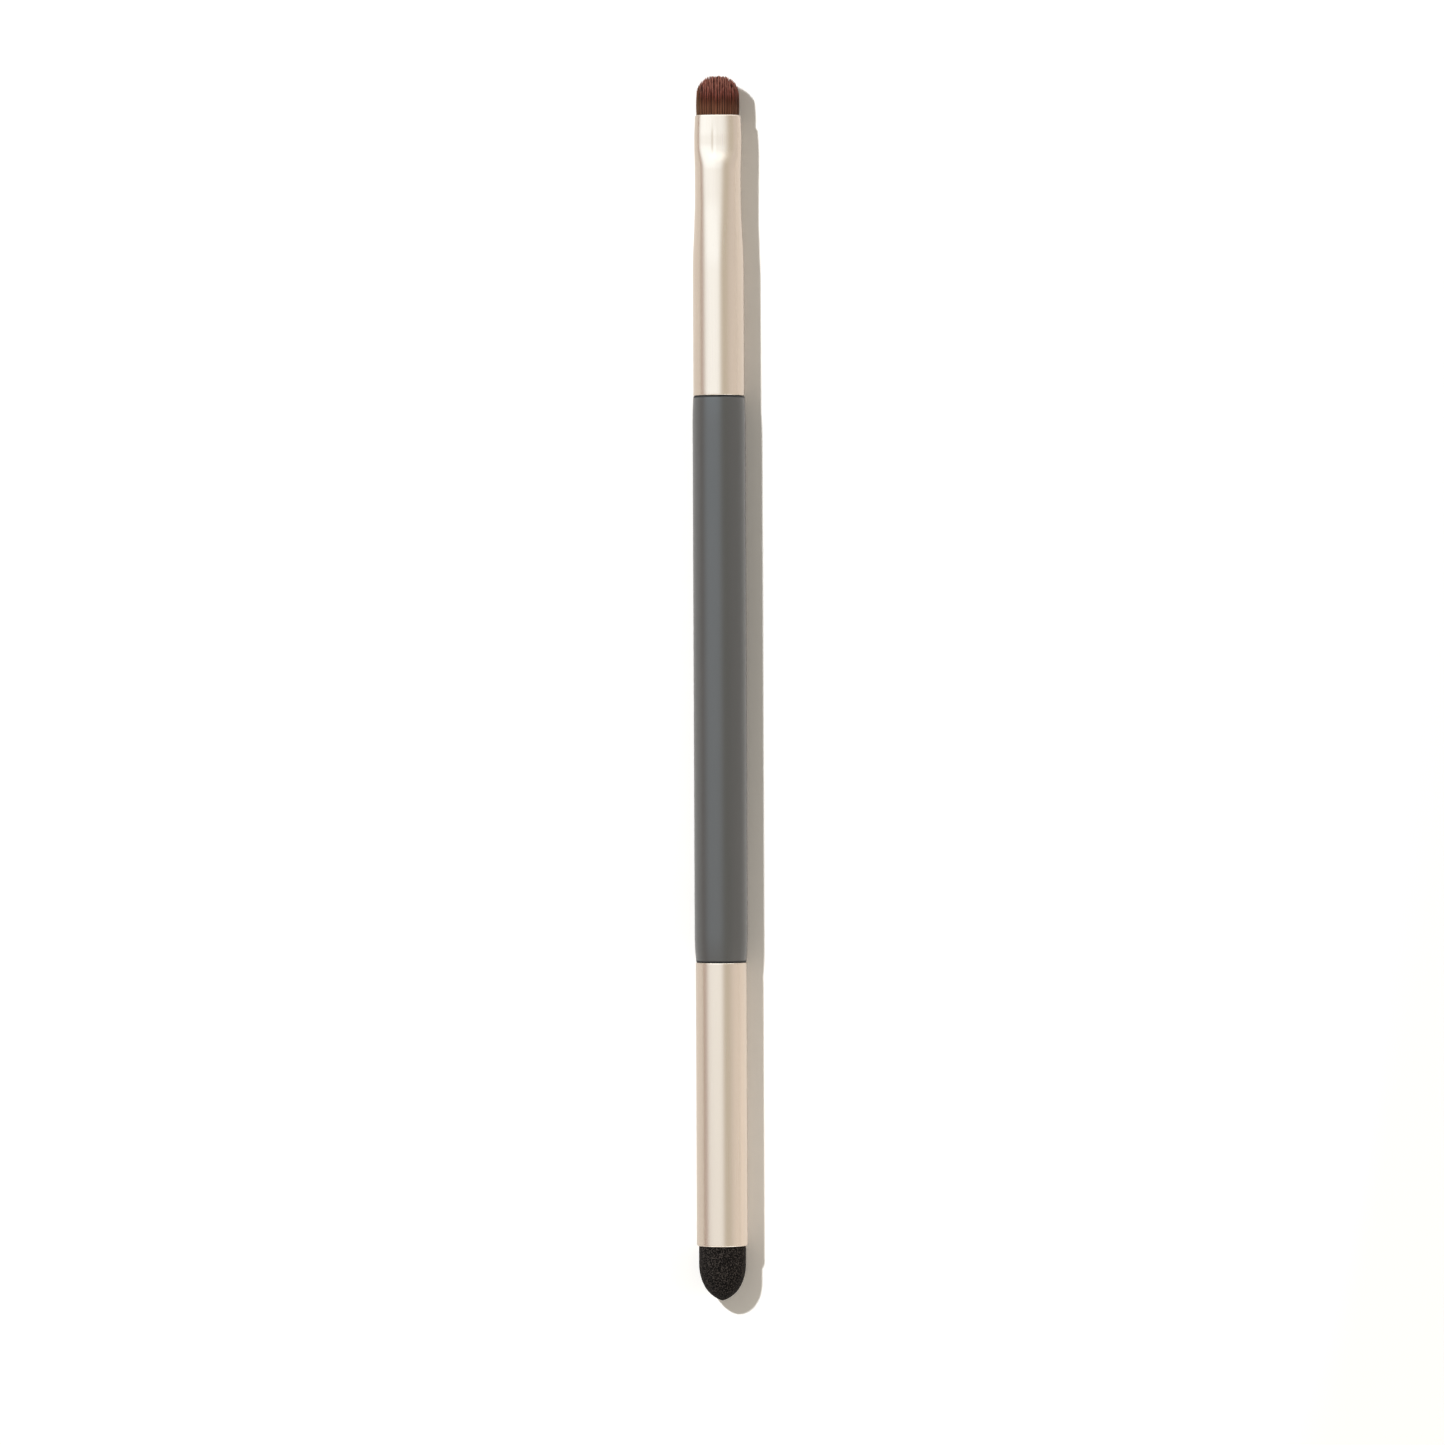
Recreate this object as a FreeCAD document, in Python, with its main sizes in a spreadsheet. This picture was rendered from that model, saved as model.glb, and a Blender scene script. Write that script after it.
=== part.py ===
# Double-ended eye smudge brush. It lies along Y on the plane z = 0, bristles towards +Y and
# sponge towards -Y, and the origin is under the middle of its length. Lengths are in mm.
import FreeCAD, Part
import math
import os

import Sketcher

SIZES = {
    # Turned wooden handle: the length seen between the ferrules, and the tenons inside them
    "handle_length": 81.5,
    "handle_diameter": 7.65,
    "shoulder_length": 4.0,
    "brush_shoulder_drop": 0.12,
    "sponge_shoulder_drop": 0.22,
    "tenon_length": 13.0,
    "tenon_chamfer": 0.5,
    # Drawn aluminium tube that both ferrules are made from
    "tube_diameter": 7.40,
    "tube_wall": 0.30,
    "rim_bevel": 0.12,
    "glue_gap": 0.05,
    # Brush ferrule, from the handle to its mouth
    "straight_length": 19.2,
    "taper_length": 8.2,
    "taper_bend": 1.2,
    "neck_length": 4.8,
    "neck_diameter": 6.70,
    "crimp_length": 8.2,
    "crimp_blend": 3.9,
    "crimp_land": 1.4,
    "crimp_spread": 0.14,
    "crimp_squeeze": 1.64,
    "crimp_corner_angle": 6.2,
    "mouth_draw": 0.26,
    # Bristle tuft
    "tuft_reach": 5.75,
    "tuft_dome": 2.5,
    "tuft_spread": 0.10,
    "tuft_seat_depth": 2.2,
    "tuft_gap": 0.02,
    # Sponge ferrule
    "sponge_ferrule_length": 40.8,
    "sponge_rim_bevel": 0.20,
    # Foam tip
    "sponge_reach": 7.9,
    "sponge_nose": 5.2,
    "nose_shoulder_angle": 27.0,
    "nose_flank_angle": 69.0,
    "nose_tip_radius": 0.8,
    "sponge_root_depth": 9.0,
    "sponge_gap": 0.02,
    # Moulded stem that carries the foam
    "stem_plug_length": 8.0,
    "stem_plug_chamfer": 0.4,
    "peg_diameter": 2.4,
    "peg_length": 12.0,
    "peg_chamfer": 0.5,
    "peg_gap": 0.02,
}

# Sections of the lofts: steps of the crimp's blend, and degrees up the tuft's dome
BLEND_STEPS = 6
DOME_ANGLES = (0, 28, 52, 72, 86)

# An edge lies flat at a height if it keeps within this distance of it
FLAT = 0.001

HANDLE_RADIUS = "(Sizes.handle_diameter / 2)"
TUBE_RADIUS = "(Sizes.tube_diameter / 2)"
TUBE_BORE = f"({TUBE_RADIUS} - Sizes.tube_wall)"
TUBE_RIM = "min(Sizes.rim_bevel; 0.4 * Sizes.tube_wall)"
TENON_RADIUS = f"({TUBE_BORE} - Sizes.glue_gap)"
NECK_RADIUS = "(Sizes.neck_diameter / 2)"
NECK_BORE = f"({NECK_RADIUS} - Sizes.tube_wall)"

TAPER_END = "(Sizes.straight_length + Sizes.taper_length)"
CRIMP_START = f"({TAPER_END} + Sizes.neck_length)"
BRUSH_MOUTH = f"({CRIMP_START} + Sizes.crimp_length)"
TUFT_ROOT = f"({CRIMP_START} - Sizes.tuft_seat_depth)"

SPONGE_MOUTH = "Sizes.sponge_ferrule_length"
SPONGE_ROOT = f"({SPONGE_MOUTH} - Sizes.sponge_root_depth)"

# Half the distance between the centres of the crimp's side arcs, at its full pinch
CRIMP_OFFSET = "(Sizes.crimp_squeeze / (2 - 2 * tan(Sizes.crimp_corner_angle * 0.5 deg)))"

BRUSH_END_LENGTH = f"({BRUSH_MOUTH} + Sizes.tuft_reach)"
SPONGE_END_LENGTH = f"({SPONGE_MOUTH} + Sizes.sponge_reach)"
HANDLE_FOOT_Y = f"(({SPONGE_END_LENGTH} - {BRUSH_END_LENGTH} - Sizes.handle_length) / 2)"
HANDLE_HEAD_Y = f"({HANDLE_FOOT_Y} + Sizes.handle_length)"

TOWARDS_BRISTLES = FreeCAD.Rotation(FreeCAD.Vector(1, 0, 0), -90)
TOWARDS_SPONGE = FreeCAD.Rotation(FreeCAD.Vector(1, 0, 0), 90)


def size_sheet(doc):
    """Spreadsheet with one named cell for each driving size."""
    sheet = doc.addObject("Spreadsheet::Sheet", "Sizes")
    for row, (name, size) in enumerate(SIZES.items(), start=1):
        sheet.set(f"A{row}", name)
        sheet.set(f"B{row}", str(size))
        sheet.setAlias(f"B{row}", name)
    doc.recompute()


def number(sketch, expression):
    """Present value of an expression in the named sizes."""
    return float(sketch.evalExpression(expression))


def new_sketch(body, name, plane, height=None):
    """Empty sketch on one of the body's own origin planes, lifted off it by a height."""
    sketch = body.newObject("Sketcher::SketchObject", name)
    support = next(f for f in body.Origin.OriginFeatures if f.Role == plane)
    sketch.AttachmentSupport = [(support, "")]
    sketch.MapMode = "FlatFace"
    if height:
        sketch.setExpression("AttachmentOffset.Base.z", height)
    return sketch


def pin_point(sketch, edge, end, across, along):
    """Hold one end of an edge at its distances from the sketch's two axes."""
    for kind, axis, distance in (("DistanceX", -2, across), ("DistanceY", -1, along)):
        if distance == "0":
            sketch.addConstraint(Sketcher.Constraint("PointOnObject", edge, end, axis))
        else:
            here = number(sketch, distance)
            rule = sketch.addConstraint(Sketcher.Constraint(kind, -1, 1, edge, end, here))
            sketch.setExpression(f"Constraints[{rule}]", distance)


def add_arc(sketch, start, end, radius):
    """Arc from start to end that bulges to the right of the way it runs."""
    chord = end - start
    size = number(sketch, radius)
    sagging = math.sqrt(max(size ** 2 - (chord.Length / 2) ** 2, 0))
    leftwards = FreeCAD.Vector(-chord.y, chord.x, 0) / chord.Length
    centre = (start + end) / 2 + leftwards * sagging
    first = math.atan2(start.y - centre.y, start.x - centre.x)
    last = math.atan2(end.y - centre.y, end.x - centre.x)
    circle = Part.Circle(centre, FreeCAD.Vector(0, 0, 1), size)
    edge = sketch.addGeometry(Part.ArcOfCircle(circle, first, last))
    rule = sketch.addConstraint(Sketcher.Constraint("Radius", edge, size))
    sketch.setExpression(f"Constraints[{rule}]", radius)
    return edge


def add_hollow_arc(sketch, start, end, radius):
    """Arc from start to end that bulges to the left of the way it runs."""
    return add_arc(sketch, end, start, radius)


def outline(sketch, corners):
    """Closed outline through corners, each with its place and how the outline goes on from it."""
    spots = [FreeCAD.Vector(number(sketch, c[0]), number(sketch, c[1]), 0) for c in corners]
    edges = []
    for corner, start, end in zip(corners, spots, spots[1:] + spots[:1]):
        if len(corner) == 2:
            edges.append((sketch.addGeometry(Part.LineSegment(start, end)), 1, 2))
        elif corner[2] == "outward":
            edges.append((add_arc(sketch, start, end, corner[3]), 1, 2))
        else:
            edges.append((add_hollow_arc(sketch, start, end, corner[3]), 2, 1))
    for corner, here, before in zip(corners, edges, edges[-1:] + edges[:-1]):
        sketch.addConstraint(Sketcher.Constraint("Coincident", before[0], before[2], here[0], here[1]))
        pin_point(sketch, here[0], here[1], corner[0], corner[1])


def turned(body, kind, name, corners):
    """Revolution or Groove of a half section, drawn as radius across and length along."""
    section = new_sketch(body, f"{name}Section", "XZ_Plane")
    outline(section, corners)
    feature = body.newObject(f"PartDesign::{kind}", name)
    feature.Profile = section
    feature.ReferenceAxis = (section, ["V_Axis"])
    body.Document.recompute()
    return feature


def oval_section(body, name, height, side_radius, side_offset):
    """Four-centred oval: two tight side arcs, joined tangent by two nearly flat arcs.

    Its arcs meet at the same angle whatever its size, so sections of this family blend smoothly.
    """
    sine = "sin(Sizes.crimp_corner_angle * 1 deg)"
    cosine = "cos(Sizes.crimp_corner_angle * 1 deg)"
    flat_radius = f"({side_radius} + {side_offset} / {sine})"
    across = f"({side_radius} * {sine} + {side_offset})"
    along = f"({side_radius} * {cosine})"
    section = new_sketch(body, name, "XY_Plane", height)
    outline(section, [
        (across, f"-{along}", "outward", side_radius),
        (across, along, "outward", flat_radius),
        (f"-{across}", along, "outward", side_radius),
        (f"-{across}", f"-{along}", "outward", flat_radius),
    ])
    return section


def lofted(body, kind, name, sections, ruled=False):
    """Loft through sections in the order given: smooth through them all, or straight between each two."""
    feature = body.newObject(f"PartDesign::{kind}", name)
    feature.Profile = sections[0]
    feature.Sections = sections[1:]
    feature.Ruled = ruled
    body.Document.recompute()
    return feature


def bevel_foot(body, name, width):
    """Chamfer of every edge that lies at the piece's own zero."""
    base = body.Tip
    edges = enumerate(base.Shape.Edges, start=1)
    foot_edges = [f"Edge{index}" for index, edge in edges if abs(edge.BoundBox.ZMax) < FLAT]
    feature = body.newObject("PartDesign::Chamfer", name)
    feature.Base = (base, foot_edges)
    feature.setExpression("Size", width)
    body.Document.recompute()


def new_body(doc, name, facing, start_y):
    """Body whose own Z runs along the brush, placed by where its zero lies along the brush."""
    body = doc.addObject("PartDesign::Body", name)
    body.Label = name
    body.Placement = FreeCAD.Placement(FreeCAD.Vector(0, 0, 0), facing)
    body.setExpression("Placement.Base.y", start_y)
    body.setExpression("Placement.Base.z", HANDLE_RADIUS)
    return body


def shoulder_radius(drop):
    """Radius of the arc that leaves the handle tangent and falls by the drop at its end."""
    return f"((Sizes.shoulder_length ^ 2 + {drop} ^ 2) / (2 * {drop}))"


def make_handle(doc):
    """One turned piece: straight grip, shoulders that round in to the ferrules, a tenon at each end."""
    body = new_body(doc, "handle", TOWARDS_BRISTLES, HANDLE_FOOT_Y)
    slim = f"({TENON_RADIUS} - Sizes.tenon_chamfer)"
    foot_radius = f"({HANDLE_RADIUS} - Sizes.sponge_shoulder_drop)"
    head_radius = f"({HANDLE_RADIUS} - Sizes.brush_shoulder_drop)"
    turned(body, "Revolution", "Turning", [
        ("0", "-Sizes.tenon_length"),
        (slim, "-Sizes.tenon_length"),
        (TENON_RADIUS, "-Sizes.tenon_length + Sizes.tenon_chamfer"),
        (TENON_RADIUS, "0"),
        (foot_radius, "0", "outward", shoulder_radius("Sizes.sponge_shoulder_drop")),
        (HANDLE_RADIUS, "Sizes.shoulder_length"),
        (HANDLE_RADIUS, "Sizes.handle_length - Sizes.shoulder_length",
         "outward", shoulder_radius("Sizes.brush_shoulder_drop")),
        (head_radius, "Sizes.handle_length"),
        (TENON_RADIUS, "Sizes.handle_length"),
        (TENON_RADIUS, "Sizes.handle_length + Sizes.tenon_length - Sizes.tenon_chamfer"),
        (slim, "Sizes.handle_length + Sizes.tenon_length"),
        ("0", "Sizes.handle_length + Sizes.tenon_length"),
    ])
    return body


def tapering_corners():
    """Long profile from the ferrule's tube to its neck: a straight taper with a short bend at each end."""
    slope = f"atan(({TUBE_RADIUS} - {NECK_RADIUS}) / Sizes.taper_length)"
    bend_radius = f"(Sizes.taper_bend / tan({slope} / 2))"
    run_out = f"Sizes.taper_bend * cos({slope})"
    run_in = f"Sizes.taper_bend * sin({slope})"
    return [
        (TUBE_RADIUS, "Sizes.straight_length - Sizes.taper_bend", "outward", bend_radius),
        (f"{TUBE_RADIUS} - {run_in}", f"Sizes.straight_length + {run_out}"),
        (f"{NECK_RADIUS} + {run_in}", f"{TAPER_END} - {run_out}", "inward", bend_radius),
        (NECK_RADIUS, f"{TAPER_END} + Sizes.taper_bend"),
    ]


def crimp_radius(inset, share):
    """Side radius of the crimp at an inset from its outer face, for its share of the full pinch."""
    return f"({NECK_RADIUS} - {inset} + {share} * (Sizes.crimp_spread / 2 - {CRIMP_OFFSET}))"


def mouth_radius(inset):
    """Side radius of the mouth at an inset from its outer face."""
    return f"({crimp_radius(inset, 1)} - Sizes.mouth_draw / 2)"


def add_crimp(body, kind, name, inset, mouth_height):
    """Crimp at an inset from its outer face: the round neck blends to an oval land, in steps that
    ease in and out, then the mouth draws in. Gives the mouth's section.
    """
    sections = []
    for step in range(BLEND_STEPS + 1):
        part = step / BLEND_STEPS
        share = part ** 2 * (3 - 2 * part)
        height = f"{CRIMP_START} + Sizes.crimp_blend * {part}"
        offset = f"({share} * {CRIMP_OFFSET})"
        sections.append(oval_section(body, f"{name}{step}", height, crimp_radius(inset, share), offset))
    lofted(body, kind, f"{name}Blend", sections, ruled=True)
    land_end = f"{CRIMP_START} + Sizes.crimp_blend + Sizes.crimp_land"
    land = oval_section(body, f"{name}LandEnd", land_end, crimp_radius(inset, 1), CRIMP_OFFSET)
    lofted(body, kind, f"{name}Land", [sections[-1], land])
    mouth = oval_section(body, f"{name}MouthEnd", mouth_height, mouth_radius(inset), CRIMP_OFFSET)
    lofted(body, kind, f"{name}Mouth", [land, mouth])
    return mouth


def make_brush_ferrule(doc):
    """Drawn tube, tapered to a neck, its mouth pinched to an oval that grips the bristles."""
    body = new_body(doc, "brush_ferrule", TOWARDS_BRISTLES, HANDLE_HEAD_Y)
    turned(body, "Revolution", "Tube", [
        ("0", "0"),
        (TUBE_RADIUS, "0"),
        *tapering_corners(),
        (NECK_RADIUS, CRIMP_START),
        ("0", CRIMP_START),
    ])
    mouth = add_crimp(body, "AdditiveLoft", "Crimp", 0, f"{BRUSH_MOUTH} - {TUBE_RIM}")
    rim = oval_section(body, "RimEnd", BRUSH_MOUTH, f"({mouth_radius(0)} - {TUBE_RIM})", CRIMP_OFFSET)
    lofted(body, "AdditiveLoft", "Rim", [mouth, rim])
    turned(body, "Groove", "TubeBore", [
        ("0", "0"),
        (TUBE_BORE, "0"),
        (TUBE_BORE, "Sizes.straight_length"),
        (NECK_BORE, TAPER_END),
        (NECK_BORE, CRIMP_START),
        ("0", CRIMP_START),
    ])
    add_crimp(body, "SubtractiveLoft", "CrimpBore", "Sizes.tube_wall", BRUSH_MOUTH)
    bevel_foot(body, "HandleRim", TUBE_RIM)
    return body


def make_bristle_tuft(doc):
    """Oval bundle of bristles that fills the ferrule's mouth, spreads a little and ends in a dome."""
    body = new_body(doc, "bristle_tuft", TOWARDS_BRISTLES, HANDLE_HEAD_Y)
    radius = mouth_radius("(Sizes.tube_wall + Sizes.tuft_gap)")
    root = oval_section(body, "RootEnd", TUFT_ROOT, radius, CRIMP_OFFSET)
    mouth = oval_section(body, "AtMouth", BRUSH_MOUTH, radius, CRIMP_OFFSET)
    lofted(body, "AdditiveLoft", "Root", [root, mouth])
    dome_start = f"({BRUSH_MOUTH} + Sizes.tuft_reach - Sizes.tuft_dome)"
    crown_radius = f"({radius} + Sizes.tuft_spread / 2)"
    dome = []
    for angle in DOME_ANGLES:
        height = f"{dome_start} + Sizes.tuft_dome * sin({angle} deg)"
        level_radius = f"({crown_radius} * cos({angle} deg))"
        level_offset = f"({CRIMP_OFFSET} * cos({angle} deg))"
        dome.append(oval_section(body, f"Dome{angle}", height, level_radius, level_offset))
    lofted(body, "AdditiveLoft", "FreeLength", [mouth, dome[0]])
    lofted(body, "AdditiveLoft", "Dome", dome)
    return body


def make_tuft_glue_plug(doc):
    """Set resin behind the bristles: it fills the ferrule's taper up to their root."""
    body = new_body(doc, "tuft_glue_plug", TOWARDS_BRISTLES, HANDLE_HEAD_Y)
    turned(body, "Revolution", "Resin", [
        ("0", "Sizes.straight_length"),
        (f"{TUBE_BORE} - Sizes.glue_gap", "Sizes.straight_length"),
        (f"{NECK_BORE} - Sizes.glue_gap", TAPER_END),
        (f"{NECK_BORE} - Sizes.glue_gap", TUFT_ROOT),
        ("0", TUFT_ROOT),
    ])
    return body


def make_sponge_ferrule(doc):
    """Straight drawn tube with a bevelled mouth."""
    body = new_body(doc, "sponge_ferrule", TOWARDS_SPONGE, HANDLE_FOOT_Y)
    bevel = "min(Sizes.sponge_rim_bevel; 0.75 * Sizes.tube_wall)"
    turned(body, "Revolution", "Tube", [
        (TUBE_BORE, "0"),
        (TUBE_RADIUS, "0"),
        (TUBE_RADIUS, f"{SPONGE_MOUTH} - {bevel}"),
        (f"{TUBE_RADIUS} - {bevel}", SPONGE_MOUTH),
        (TUBE_BORE, SPONGE_MOUTH),
    ])
    bevel_foot(body, "HandleRim", TUBE_RIM)
    return body


def nose_corners(radius, start):
    """Half section of the nose: shoulder, flank and small tip, three arcs that meet tangent.

    The angles where the arcs meet are given, so the nose keeps its form at any length and width.
    """
    first = "(Sizes.nose_shoulder_angle * 1 deg)"
    last = "(Sizes.nose_flank_angle * 1 deg)"
    tip = "Sizes.nose_tip_radius"
    reach = f"(Sizes.sponge_nose - {tip} * (1 - sin({last})))"
    inward = f"({radius} - {tip} * cos({last}))"
    sine_step = f"(sin({last}) - sin({first}))"
    cosine_step = f"(cos({first}) - cos({last}))"
    whole = f"({cosine_step} * sin({first}) - (1 - cos({first})) * {sine_step})"
    shoulder = f"(({cosine_step} * {reach} - {sine_step} * {inward}) / {whole})"
    flank = f"((sin({first}) * {inward} - (1 - cos({first})) * {reach}) / {whole})"
    return [
        (radius, start, "outward", shoulder),
        (f"{radius} - {shoulder} * (1 - cos({first}))", f"{start} + {shoulder} * sin({first})",
         "outward", flank),
        (f"{tip} * cos({last})", f"{start} + {reach}", "outward", tip),
        ("0", f"{start} + Sizes.sponge_nose"),
    ]


def make_sponge_tip(doc):
    """Foam bullet with a slightly pointed nose, and a blind hole for the stem's peg."""
    body = new_body(doc, "sponge_tip", TOWARDS_SPONGE, HANDLE_FOOT_Y)
    radius = f"({TUBE_BORE} - Sizes.sponge_gap)"
    nose_start = f"({SPONGE_END_LENGTH} - Sizes.sponge_nose)"
    hole_radius = "(Sizes.peg_diameter / 2 + Sizes.peg_gap)"
    hole_top = f"({SPONGE_ROOT} + Sizes.peg_length + Sizes.peg_gap)"
    turned(body, "Revolution", "Foam", [
        (hole_radius, SPONGE_ROOT),
        (radius, SPONGE_ROOT),
        *nose_corners(radius, nose_start),
        ("0", hole_top),
        (f"{hole_radius} - Sizes.peg_chamfer", hole_top),
        (hole_radius, f"{hole_top} - Sizes.peg_chamfer"),
    ])
    return body


def make_sponge_stem(doc):
    """Moulded plug in the sponge ferrule, with a peg that the foam is glued on."""
    body = new_body(doc, "sponge_stem", TOWARDS_SPONGE, HANDLE_FOOT_Y)
    plug_back = f"({SPONGE_ROOT} - Sizes.stem_plug_length)"
    peg_radius = "(Sizes.peg_diameter / 2)"
    peg_top = f"({SPONGE_ROOT} + Sizes.peg_length)"
    turned(body, "Revolution", "Moulding", [
        ("0", plug_back),
        (f"{TENON_RADIUS} - Sizes.stem_plug_chamfer", plug_back),
        (TENON_RADIUS, f"{plug_back} + Sizes.stem_plug_chamfer"),
        (TENON_RADIUS, SPONGE_ROOT),
        (peg_radius, SPONGE_ROOT),
        (peg_radius, f"{peg_top} - Sizes.peg_chamfer"),
        (f"{peg_radius} - Sizes.peg_chamfer", peg_top),
        ("0", peg_top),
    ])
    return body


def check(doc, bodies):
    """Stop if any object failed to recompute, or a piece is not one sound solid."""
    for thing in doc.Objects:
        if "Invalid" in thing.State or "Error" in thing.State:
            raise RuntimeError(f"{thing.Name} did not recompute: {thing.State}")
    for body in bodies:
        shape = body.Shape
        if shape.isNull() or not shape.isValid() or len(shape.Solids) != 1:
            raise RuntimeError(f"{body.Label} is not one sound solid")


doc = FreeCAD.newDocument("EyeSmudgeBrush")
size_sheet(doc)
pieces = [
    make_handle(doc),
    make_brush_ferrule(doc),
    make_bristle_tuft(doc),
    make_tuft_glue_plug(doc),
    make_sponge_ferrule(doc),
    make_sponge_tip(doc),
    make_sponge_stem(doc),
]
doc.recompute()
check(doc, pieces)

os.makedirs("parts", exist_ok=True)
for piece in pieces:
    piece.Shape.exportStep(f"parts/{piece.Label}.step")
    print(f"{piece.Label}: {piece.Shape.Volume:.2f} mm3")
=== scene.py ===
import math

import bpy
import numpy as np
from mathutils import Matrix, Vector, noise


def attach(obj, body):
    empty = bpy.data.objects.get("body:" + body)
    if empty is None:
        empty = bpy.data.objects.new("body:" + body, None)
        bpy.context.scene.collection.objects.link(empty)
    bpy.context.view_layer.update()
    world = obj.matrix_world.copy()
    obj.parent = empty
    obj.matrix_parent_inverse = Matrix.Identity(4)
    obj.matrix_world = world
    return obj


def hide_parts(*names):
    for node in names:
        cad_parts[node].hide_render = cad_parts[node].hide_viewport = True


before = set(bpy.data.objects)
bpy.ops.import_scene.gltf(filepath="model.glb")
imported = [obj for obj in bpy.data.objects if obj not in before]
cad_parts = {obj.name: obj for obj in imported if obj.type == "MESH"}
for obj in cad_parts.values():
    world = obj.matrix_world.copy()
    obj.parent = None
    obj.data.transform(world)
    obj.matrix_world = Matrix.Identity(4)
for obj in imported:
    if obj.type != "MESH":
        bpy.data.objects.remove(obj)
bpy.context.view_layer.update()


# Handle: a straight length of turned birch, dipped in dark grey lacquer that dries semi-matt.
# Its ends round in to the ferrules, and a tenon at each end is glued inside one. Lengths are in
# millimetres in the whole file, and MM turns them to Blender's metres.
MM = 0.001
AXIS_HEIGHT = 3.825
HANDLE_RADIUS = 3.825
HANDLE_BRUSH_END = 42.025
HANDLE_SPONGE_END = -39.475
SHOULDER_LENGTH = 4.0
BRUSH_SHOULDER_DROP = 0.12
SPONGE_SHOULDER_DROP = 0.22
HANDLE_EDGE_ROUND = 0.20
JOINT_LINE_START = 0.34
JOINT_LINE_FULL = 0.20
TENON_RADIUS = 3.35
TENON_LENGTH = 13.0
TENON_CHAMFER = 0.5
HANDLE_POINTS_AROUND = 256
SHOULDER_RINGS = 10
SHARP_ANGLE = 35

LACQUER_GREY = "#393938"
LACQUER_PALE = "#3E3D3C"
JOINT_GLUE_AND_SHADE = "#060404"


def linear(hex_colour):
    """Linear RGBA of an sRGB hex colour."""
    channels = [int(hex_colour[i:i + 2], 16) / 255 for i in (1, 3, 5)]
    return [c / 12.92 if c <= 0.04045 else ((c + 0.055) / 1.055) ** 2.4 for c in channels] + [1]


def add(tree, kind, inputs=None, **settings):
    """New node with its settings. Each input is a value, or the output that feeds it."""
    made = tree.nodes.new(kind)
    for name, value in settings.items():
        setattr(made, name, value)
    for socket, value in (inputs or {}).items():
        if isinstance(value, bpy.types.NodeSocket):
            tree.links.new(value, made.inputs[socket])
        else:
            made.inputs[socket].default_value = value
    return made


def new_finish(name, roughness, metallic=0.0, ior=1.5):
    """New material, its node tree and its surface shader."""
    material = bpy.data.materials.new(name)
    material.use_nodes = True
    tree = material.node_tree
    surface = tree.nodes["Principled BSDF"]
    surface.inputs["Roughness"].default_value = roughness
    surface.inputs["Metallic"].default_value = metallic
    surface.inputs["IOR"].default_value = ior
    return material, tree, surface


def round_ring(along, radius):
    """One round cross-section: its place along the brush, its half sizes and its squareness."""
    return along, radius, radius, 2.0


def ring_points(along, half_width, half_height, squareness, around):
    """Points of a cross-section, in mm, anticlockwise from +X towards +Z.

    Squareness 2 is an ellipse, and more than 2 has flatter sides and tighter corners.
    """
    turn = np.arange(around) * 2 * np.pi / around
    wide = np.abs(np.cos(turn) / half_width) ** squareness
    high = np.abs(np.sin(turn) / half_height) ** squareness
    reach = (wide + high) ** (-1 / squareness)
    across = reach * np.cos(turn)
    return np.stack([across, np.full(around, along), reach * np.sin(turn) + AXIS_HEIGHT], axis=1)


def skinned(name, points, tube):
    """Smooth mesh object over rows of points that run towards +Y.

    A tube's last row joins its first, and a solid's first and last rows are closed flat.
    """
    rows, around = points.shape[:2]
    faces = []
    for row in range(rows if tube else rows - 1):
        here, there = row * around, (row + 1) % rows * around
        for i in range(around):
            j = (i + 1) % around
            faces.append((here + i, there + i, there + j, here + j))
    if not tube:
        faces.append(tuple(range(around)))
        faces.append(tuple(range(rows * around - 1, (rows - 1) * around - 1, -1)))
    mesh = bpy.data.meshes.new(name)
    mesh.from_pydata((points.reshape(-1, 3) * MM).tolist(), [], faces)
    mesh.polygons.foreach_set("use_smooth", [True] * len(mesh.polygons))
    mesh.set_sharp_from_angle(angle=math.radians(SHARP_ANGLE))
    made = bpy.data.objects.new(name, mesh)
    bpy.context.scene.collection.objects.link(made)
    return made


def shoulder_rings(end, side, drop):
    """The handle's shoulder from its full width to its end, an arc and then a small rounded edge.

    Side is +1 where the end faces +Y and -1 where it faces -Y.
    """
    bow = (SHOULDER_LENGTH ** 2 + drop ** 2) / (2 * drop)
    start = end - side * SHOULDER_LENGTH
    reach = SHOULDER_LENGTH - HANDLE_EDGE_ROUND
    rings = []
    for step in np.linspace(0, reach, SHOULDER_RINGS):
        radius = HANDLE_RADIUS - bow + math.sqrt(bow ** 2 - step ** 2)
        rings.append(round_ring(start + side * step, radius))
    edge_radius = rings[-1][1] - HANDLE_EDGE_ROUND
    for turn in np.radians((30, 60, 90)):
        forward = HANDLE_EDGE_ROUND * (math.sin(turn) - 1)
        outward = HANDLE_EDGE_ROUND * math.cos(turn)
        rings.append(round_ring(end + side * forward, edge_radius + outward))
    return rings


def tenon_rings(end, side):
    """The handle's tenon, from its foot to its chamfered end."""
    tip = end + side * TENON_LENGTH
    return [
        round_ring(end, TENON_RADIUS),
        round_ring(tip - side * TENON_CHAMFER, TENON_RADIUS),
        round_ring(tip, TENON_RADIUS - TENON_CHAMFER),
    ]


brush_side = shoulder_rings(HANDLE_BRUSH_END, 1, BRUSH_SHOULDER_DROP)
brush_side += tenon_rings(HANDLE_BRUSH_END, 1)
sponge_side = shoulder_rings(HANDLE_SPONGE_END, -1, SPONGE_SHOULDER_DROP)
sponge_side += tenon_rings(HANDLE_SPONGE_END, -1)
handle_rings = sponge_side[::-1] + brush_side
rows = np.array([ring_points(*ring, HANDLE_POINTS_AROUND) for ring in handle_rings])
handle = skinned("lacquered_handle", rows, False)
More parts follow.
